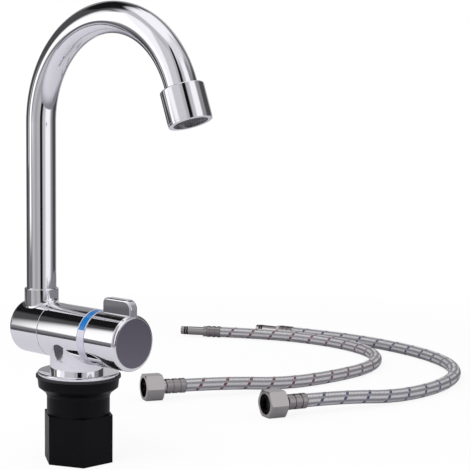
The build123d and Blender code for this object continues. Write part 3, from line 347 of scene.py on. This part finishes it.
HOSES = {
    "red": (RED_ROUTE, (0.13, 0.004, 0.010)),
    "blue": (BLUE_ROUTE, (0.008, 0.022, 0.12)),
}
for colour, (plan, tracer) in HOSES.items():
    line = route_line(colour + "_route", plan)
    hose, length = braided_tube(colour + "_braided_hose", line, HOSE_D / 2)
    hose.data.materials.append(braid(colour + "_braid", tracer))
    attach(hose, "tap")
    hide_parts(colour + "_hose")

# The floor: a round matt board that the camera sees as white paper with a faint
# shadow, and the chrome as a grey table. That grey is darker away from the tap, and
# has a dark stretch far to the left.

FLOOR_MIDDLE = (-0.02, 0.18)
FLOOR_R = 0.78
FLOOR_HUB_R = 0.01
FLOOR_SIDES = 96
FLOOR_RINGS = 14
SHADOW_SHARE = 0.12
SHADOW_ENDS_FROM_SHARE = 0.5
SHADOW_ENDS_AT_SHARE = 0.95
WHITE = (1.0, 1.0, 1.0)
FLOOR_SEEN = (0.86, 0.86, 0.87)
FLOOR_NEAR = (0.60, 0.59, 0.63)
FLOOR_FAR = (0.24, 0.23, 0.26)
FAR_BETWEEN = (0.30, 0.62)
FLOOR_DARK = (0.11, 0.11, 0.12)
DARK_BETWEEN = (0.54, 0.90)
DARK_SOFT = 0.06


def floor_disc():
    """Flat disc: rings of points at even steps of radius, and the small round hub within them."""
    turn = np.linspace(0, 2 * math.pi, FLOOR_SIDES, endpoint=False)
    radius = np.linspace(FLOOR_HUB_R, FLOOR_R, FLOOR_RINGS)
    x = FLOOR_MIDDLE[0] + radius[:, None] * np.cos(turn)
    y = FLOOR_MIDDLE[1] + radius[:, None] * np.sin(turn)
    points = np.stack([x, y, np.full_like(x, FLOOR_Z)], axis=-1)
    floor = grid_mesh("floor", points, caps=False)
    hub_mesh = bpy.data.meshes.new("floor_middle")
    hub_mesh.from_pydata(points[0].tolist(), [], [list(range(FLOOR_SIDES))])
    hub = bpy.data.objects.new("floor_middle", hub_mesh)
    bpy.context.scene.collection.objects.link(hub)
    return floor, hub


def floor_finish():
    """Matt tone, over which the camera sees plain white but for the share that holds the shadow.
    That share goes to nought towards the edge, where the floor meets the white beyond it."""
    material = bpy.data.materials.new("pale_floor")
    nodes = Finish(material)
    x, y, _ = nodes.split(nodes.place())
    out_x = x - FLOOR_MIDDLE[0]
    out_y = y - FLOOR_MIDDLE[1]
    out = (out_x * out_x + out_y * out_y).math("SQRT")
    bare = out.step(SHADOW_ENDS_FROM_SHARE * FLOOR_R, SHADOW_ENDS_AT_SHARE * FLOOR_R)
    white_share = (1 - SHADOW_SHARE) + bare * SHADOW_SHARE
    seen = nodes.field(nodes.add("ShaderNodeLightPath"), "Is Camera Ray")
    leftward = x * -CAMERA_RIGHT[0] - y * CAMERA_RIGHT[1]
    dark = leftward.within(*DARK_BETWEEN, DARK_SOFT) * (1 - seen)
    far = (x * x + y * y).math("SQRT").step(*FAR_BETWEEN)
    grey = nodes.blend(far, FLOOR_NEAR, FLOOR_FAR)
    tone = nodes.blend(dark, nodes.blend(seen, grey, FLOOR_SEEN), FLOOR_DARK)
    matt = nodes.add("ShaderNodeBsdfDiffuse", inputs={"Color": tone})
    white = nodes.add("ShaderNodeEmission", inputs={"Color": (*WHITE, 1.0), "Strength": 1.0})
    mixed = nodes.add(
        "ShaderNodeMixShader",
        inputs={"Fac": seen * white_share, 1: matt.outputs[0], 2: white.outputs[0]},
    )
    nodes.add("ShaderNodeOutputMaterial", inputs={"Surface": mixed.outputs[0]})
    return material


floor_material = floor_finish()
for part in floor_disc():
    part.data.materials.append(floor_material)

# The surroundings: soft panels all round, which the chrome shows as its bright and
# dark bands. The camera sees plain white, and other rays an even pale grey.

# Each panel: from and to across, in degrees from the camera towards the right of the
# picture, from and to upwards, how soft its edge is, and how bright it is.
PANELS = [
    (78, 124, 34, 56, 10, 0.50),
    (108, 160, 48, 60, 7, 0.70),
    (128, 166, 24, 40, 7, 0.15),
    (14, 96, 48, 64, 10, 0.86),
    (112, 174, 57, 72, 7, 1.1),
    (-98, -10, 46, 60, 10, 0.60),
    (-72, -46, -60, 48, 10, 0.56),
    (-46, -26, -60, 48, 10, 0.42),
    (-26, -10, -60, 48, 8, 0.52),
    (-74, -26, 6, 46, 8, 0.70),
    (-90, -66, 4, 42, 8, 1.12),
    (-114, -76, -18, -3, 5, 0.22),
    (-170, -114, 37, 58, 5, 0.01),
    (18, 40, -26, 46, 12, 0.60),
    (66, 94, -26, 40, 10, 0.32),
    (40, 66, -26, 46, 12, 1.10),
    (152, 180, -34, 26, 14, 0.58),
    (-180, -162, 2, 30, 8, 0.32),
    (-5, 7, -40, 58, 4, 0.005),
]
SURROUND = 0.08
ROOF_FROM = 63.0
ROOF_SOFT = 8.0
ROOF = 1.12
PANEL_RED_SHARE = 0.965
PANEL_GREEN_SHARE = 0.95
ROOM_GREY = (0.86, 0.86, 0.88)


def surroundings():
    """World that takes its brightness in each direction from the last panel that covers it, or
    from the roof, or else from the plain surround."""
    world = bpy.data.worlds.new("studio")
    bpy.context.scene.world = world
    nodes = Finish(world)
    x, y, z = nodes.split(nodes.add("ShaderNodeTexCoord").outputs["Generated"])
    camera_turn = math.atan2(CAMERA_BACK[1], CAMERA_BACK[0])
    towards_camera = x * math.cos(camera_turn) + y * math.sin(camera_turn)
    rightward = x * CAMERA_RIGHT[0] + y * CAMERA_RIGHT[1]
    across = rightward.math("ARCTAN2", towards_camera) * math.degrees(1)
    upward = z.math("ARCSINE") * math.degrees(1)
    roof = upward.step(ROOF_FROM - ROOF_SOFT, ROOF_FROM + ROOF_SOFT)
    glow = roof * (ROOF - SURROUND) + SURROUND
    for left, right, low, high, soft, bright in PANELS:
        cover = across.within(left, right, soft) * upward.within(low, high, soft)
        glow = glow + cover * (bright - glow)
    parts = {"Red": glow * PANEL_RED_SHARE, "Green": glow * PANEL_GREEN_SHARE, "Blue": glow}
    panels = nodes.field(nodes.add("ShaderNodeCombineColor", inputs=parts))
    rays = nodes.add("ShaderNodeLightPath")
    plain = nodes.blend(nodes.field(rays, "Is Camera Ray"), ROOM_GREY, WHITE)
    tone = nodes.blend(nodes.field(rays, "Is Glossy Ray"), plain, panels)
    background = nodes.add("ShaderNodeBackground", inputs={"Color": tone, "Strength": 1.0})
    nodes.add("ShaderNodeOutputWorld", inputs={"Surface": background.outputs[0]})


surroundings()

# The soft boxes: two upright lamps at the left, whose light fades towards their
# edges, so that the chrome shows them as soft bright streaks.

BOX_ACROSS_SHARES = (0.34, 0.66, 0.34)
BOX_BOTTOM_SHARES = (0.0, 0.08)
BOX_TOP_SHARES = (0.55, 1.0)


def soft_box(name, turn, away, low, high, width, bright):
    """Upright lamp that faces the tap: its turn in degrees from the camera towards the right of
    the picture, its distance, heights and width, and how bright it is in the middle."""
    data = bpy.data.lights.new(name, "AREA")
    data.shape = "RECTANGLE"
    data.size = width
    data.size_y = high - low
    data.energy = bright * math.pi * width * (high - low)
    nodes = Finish(data)
    across, up, _ = nodes.split(nodes.add("ShaderNodeNewGeometry").outputs["Parametric"])
    glow = across.within(*BOX_ACROSS_SHARES) * up.step(*BOX_BOTTOM_SHARES) * (1 - up.step(*BOX_TOP_SHARES))
    emission = nodes.add("ShaderNodeEmission", inputs={"Strength": glow})
    nodes.add("ShaderNodeOutputLight", inputs={"Surface": emission.outputs[0]})
    lamp = bpy.data.objects.new(name, data)
    angle = math.radians(turn)
    towards_camera = Vector((CAMERA_BACK[0], CAMERA_BACK[1], 0.0)).normalized()
    outward = towards_camera * math.cos(angle) + Vector(CAMERA_RIGHT) * math.sin(angle)
    lamp.location = outward * away + Vector((0.0, 0.0, (low + high) / 2))
    lamp.rotation_euler = outward.to_track_quat("Z", "Y").to_euler()
    bpy.context.scene.collection.objects.link(lamp)


soft_box("left_soft_box", turn=-92, away=0.6, low=0.0, high=0.75, width=0.26, bright=1.05)
soft_box("left_far_box", turn=-112, away=0.6, low=0.10, high=0.30, width=0.14, bright=0.45)

# The low board: a dark strip that stands on edge at the left, beyond the picture, and
# that only reflections show. It makes the thin dark line below the barrel's bright
# band, and the dark patch on the neck.

BOARD_LEFT = 0.35
BOARD_BETWEEN = (-0.35, 0.15)
BOARD_TOP = -0.02
BOARD_GREY = (0.12, 0.12, 0.13)


def low_board():
    """Upright rectangle from the floor to the board's top, between two places along the line
    towards the camera."""
    foot = -np.array(CAMERA_RIGHT[:2]) * BOARD_LEFT
    towards_camera = np.array(CAMERA_BACK[:2])
    ends = [foot + towards_camera * place for place in BOARD_BETWEEN]
    points = np.array([[(*end, z) for z in (FLOOR_Z, BOARD_TOP)] for end in ends])
    board = grid_mesh("low_board", points, wrap=False, caps=False)
    material = bpy.data.materials.new("dark_board")
    nodes = Finish(material)
    matt = nodes.add("ShaderNodeBsdfDiffuse", inputs={"Color": (*BOARD_GREY, 1.0)})
    nodes.add("ShaderNodeOutputMaterial", inputs={"Surface": matt.outputs[0]})
    board.data.materials.append(material)
    board.visible_camera = False
    board.visible_diffuse = False
    board.visible_shadow = False


low_board()

# The key lamp: a large soft lamp above and in front, which lights the matt pieces and
# casts the shadow. The chrome doesn't show it.

KEY_PLACE = (0.2, -0.9, 1.1)
KEY_SIDE = 0.8
KEY_WATTS = 9.0

key_data = bpy.data.lights.new("key", "AREA")
key_data.size = KEY_SIDE
key_data.energy = KEY_WATTS
key = bpy.data.objects.new("key", key_data)
key.location = KEY_PLACE
tilt = math.atan2(-KEY_PLACE[1], KEY_PLACE[2])
turn = math.atan2(KEY_PLACE[0], -KEY_PLACE[1])
key.rotation_euler = (tilt, 0.0, turn)
key.visible_glossy = False
bpy.context.scene.collection.objects.link(key)
bpy.context.scene.view_settings.view_transform = "Standard"

# The body, hub, spout and knob: brass castings and tube, polished and plated with
# bright chrome, which is almost a mirror and has only the faintest haze.

CHROME = (0.86, 0.86, 0.875)
HAZE_SCALE = 60.0
PLATING_GRAIN_SCALE = 4000.0
HAZE_TONE_SHARE = 0.96


def paint(material, *names):
    """Gives a finish to CAD nodes."""
    for name in names:
        node = frame["nodes"][name]
        node.data.materials.clear()
        node.data.materials.append(material)


def plated(name, colour, roughness, haze, grain=0.0):
    """Plated or bare metal: a reflection whose haze comes and goes over the surface, and a grain
    of the given depth in metres."""
    material = bpy.data.materials.new(name)
    nodes = Finish(material)
    cloud = nodes.noise(HAZE_SCALE, detail=3.0)
    fine = nodes.noise(PLATING_GRAIN_SCALE, detail=1.0)
    nodes.surface(
        base_color=nodes.blend(cloud, colour, tuple(part * HAZE_TONE_SHARE for part in colour)),
        metallic=1.0,
        roughness=roughness + cloud * haze,
        normal=nodes.bump(fine, grain),
    )
    return material


chrome = plated("polished_chrome", CHROME, roughness=0.03, haze=0.03)
paint(chrome, "tap_body", "base_flange", "spout_hub", "hub_end_cap", "spout_tube", "spout_socket")
paint(chrome, "aerator_shell", "knob")

# The knob's front edge is rounded: a ring of quarter-round section lies on the
# chamfer that the plain knob has there, and is cast and plated in one with it. A
# satin chrome end plate closes the knob. Its dark grey colour is a painted reflection
# of the dark surroundings that the plate reflects.

joint_places = {joint["name"]: joint["pos_m"] for joint in frame["joints"]}
BARREL_AXIS_Z = joint_places["knob_turn"][2]
BARREL_R = 0.0172
KNOB_END_X = 0.0492
KNOB_EDGE_R = 0.002
KNOB_EDGE_SIDES = 128
KNOB_EDGE_RINGS = 13
# Painted dark reflection: the end plate's grey stands in for the dark surroundings that it reflects.
PLATE_PAINTED_DARK_REFLECTION = (0.22, 0.21, 0.25)


def knob_edge():
    """Ring about the barrel's axis. Over a quarter turn t, x is the knob's end less the edge's
    radius times (1 - sin t), and r the barrel's radius less the same times (1 - cos t)."""
    turn = np.linspace(0, 2 * math.pi, KNOB_EDGE_SIDES, endpoint=False)
    bend = np.linspace(0, math.pi / 2, KNOB_EDGE_RINGS)
    x = KNOB_END_X - KNOB_EDGE_R + KNOB_EDGE_R * np.sin(bend)
    r = BARREL_R - KNOB_EDGE_R + KNOB_EDGE_R * np.cos(bend)
    y = r[:, None] * np.cos(turn)
    z = BARREL_AXIS_Z + r[:, None] * np.sin(turn)
    points = np.stack([np.broadcast_to(x[:, None], y.shape), y, z], axis=-1)
    return grid_mesh("knob_front_edge", points, caps=False)


edge = knob_edge()
edge.data.materials.append(chrome)
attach(edge, "control")
paint(plated("satin_chrome", PLATE_PAINTED_DARK_REFLECTION, roughness=0.26, haze=0.05), "knob_end_plate")

# The ring with its two marks: moulded pale plastic, with inlays of clear-coated
# blue and red.

RING_GREY = (0.62, 0.61, 0.70)
MARK_BLUE = (0.006, 0.17, 0.50)
MARK_RED = (0.62, 0.02, 0.03)
MOULDED_CLOUD_SCALE = 120.0
MOULDED_GRAIN_SCALE = 1500.0
MOULDED_TONE_SHARE = 0.82
MOULDED_SHEEN_RANGE = 0.12


def moulded(name, colour, roughness, grain, coat=0.0, shine=0.5):
    """Moulded plastic, rubber or ceramic: a grain of the given depth in metres, and a colour that
    is a little uneven."""
    material = bpy.data.materials.new(name)
    nodes = Finish(material)
    cloud = nodes.noise(MOULDED_CLOUD_SCALE, detail=3.0)
    fine = nodes.noise(MOULDED_GRAIN_SCALE, detail=3.0)
    nodes.surface(
        base_color=nodes.blend(cloud, colour, tuple(part * MOULDED_TONE_SHARE for part in colour)),
        roughness=roughness + fine * MOULDED_SHEEN_RANGE,
        coat_weight=coat,
        specular_ior_level=shine,
        normal=nodes.bump(fine, grain),
    )
    return material


paint(moulded("ring_grey", RING_GREY, roughness=0.22, grain=0.00001, coat=0.4), "indicator_ring")
paint(moulded("mark_blue", MARK_BLUE, roughness=0.2, grain=0.00001, coat=0.6), "cold_mark")
paint(moulded("mark_red", MARK_RED, roughness=0.2, grain=0.00001, coat=0.6), "hot_mark")

# Below the flange: the nut, a moulding of black glass-filled nylon with a faint
# sheen, the rubber gasket and the brass shank. The tap's seals are of the same
# rubber, and the turned pieces inside it of the same brass.

NYLON_BLACK = (0.003, 0.003, 0.0035)
RUBBER_BLACK = (0.018, 0.018, 0.019)
BRASS = (0.70, 0.52, 0.24)

nylon = moulded("black_nylon", NYLON_BLACK, roughness=0.34, grain=0.00004, shine=0.1)
paint(nylon, "mounting_nut")
rubber = moulded("black_rubber", RUBBER_BLACK, roughness=0.6, grain=0.00003)
paint(rubber, "worktop_gasket", "journal_o_rings", "spout_o_rings", "cartridge_seals", "aerator_washer")
brass = plated("plain_brass", BRASS, roughness=0.26, haze=0.08)
paint(brass, "threaded_shank", "fold_journal", "spout_foot", "cartridge_gland_nut", "cartridge_spindle")

# Inside: pins, screws and washers of stainless steel, slide parts of white acetal,
# the two lapped discs of white ceramic, and the aerator's grey mesh.

STAINLESS = (0.60, 0.59, 0.60)
ACETAL_WHITE = (0.82, 0.82, 0.80)
CERAMIC_WHITE = (0.86, 0.85, 0.82)
MESH_GREY = (0.10, 0.10, 0.11)

steel = plated("stainless_steel", STAINLESS, roughness=0.24, haze=0.08)
paint(steel, "spout_snap_ring", "fold_stop_pin", "hub_thrust_washer", "hub_retaining_screw", "knob_screw")
acetal = moulded("white_acetal", ACETAL_WHITE, roughness=0.35, grain=0.00001)
paint(acetal, "fold_friction_washer", "spout_slide_ring", "cartridge_base", "cartridge_housing")
paint(acetal, "aerator_insert")
ceramic = moulded("ceramic", CERAMIC_WHITE, roughness=0.12, grain=0.000002)
paint(ceramic, "cartridge_fixed_disc", "cartridge_moving_disc")
paint(moulded("grille_grey", MESH_GREY, roughness=0.4, grain=0.00001), "aerator_mesh")

# The ends of the hoses: fittings of nickel-plated brass, ferrules of thin stainless
# steel rolled down on the hose, and black seals.

NICKEL = (0.42, 0.405, 0.39)
CRIMPED_STEEL = (0.30, 0.285, 0.28)

nickel = plated("nickel", NICKEL, roughness=0.05, haze=0.06, grain=0.000002)
crimped = plated("crimped_steel", CRIMPED_STEEL, roughness=0.10, haze=0.08, grain=0.000002)
for colour in HOSES:
    paint(nickel, colour + "_union_nut", colour + "_nut_nipple", colour + "_tail")
    paint(crimped, colour + "_nut_ferrule", colour + "_tail_ferrule")
    paint(rubber, colour + "_nut_washer", colour + "_tail_o_rings")
